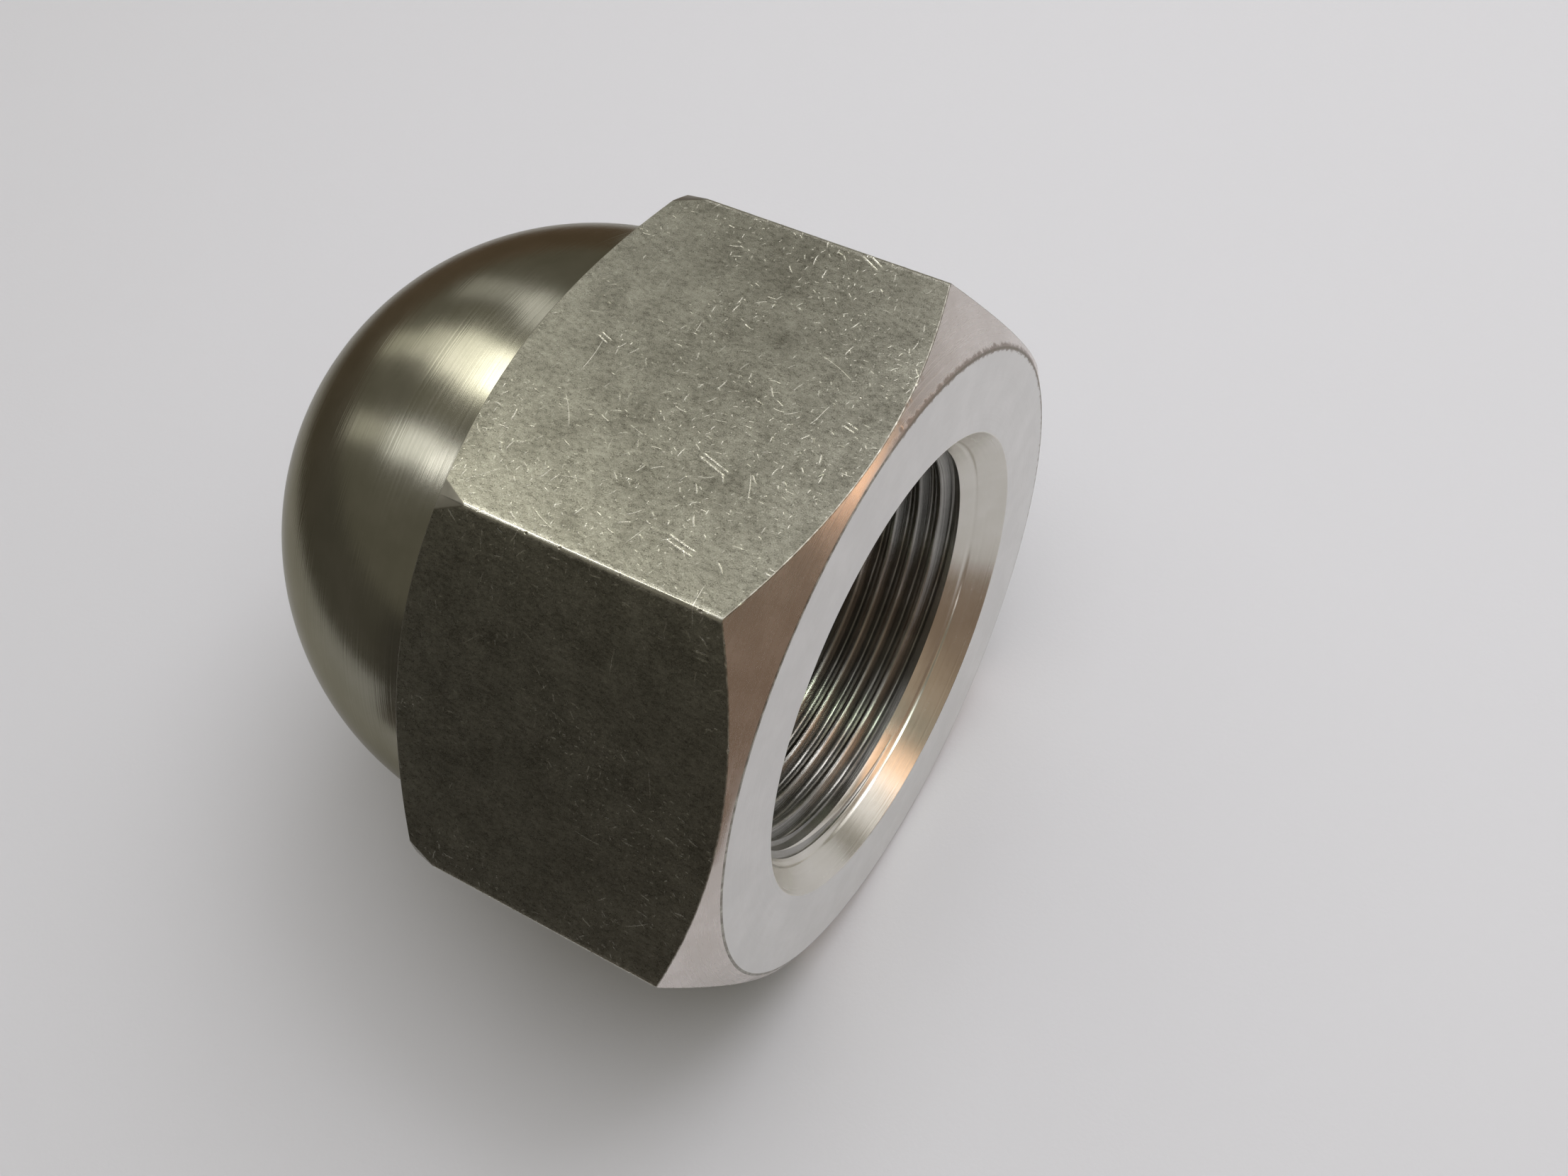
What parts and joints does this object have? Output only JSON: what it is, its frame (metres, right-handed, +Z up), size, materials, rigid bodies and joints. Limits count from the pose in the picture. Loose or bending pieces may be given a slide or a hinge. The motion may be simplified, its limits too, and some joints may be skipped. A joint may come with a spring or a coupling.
{
  "type": "cap nut",
  "caption": "Domed cap nut turned from hexagon bar, with a wide countersink and a blind fine thread, lying on one flat.",
  "frame": {"origin": "on the surface that the nut lies on, under the middle of its overall box", "axes": "+X along the thread axis, out of the mouth; the dome points to -X; +Z up, square to the flat that the nut lies on; two corners of the hexagon point to +Y and -Y"},
  "size_m": [0.0411, 0.0472, 0.041],
  "materials": {
    "steel": "turned and drawn bright steel, handled, with nicks on the flats"
  },
  "bodies": {
    "root": {"cap_nut": "steel"}
  },
  "joints": []
}
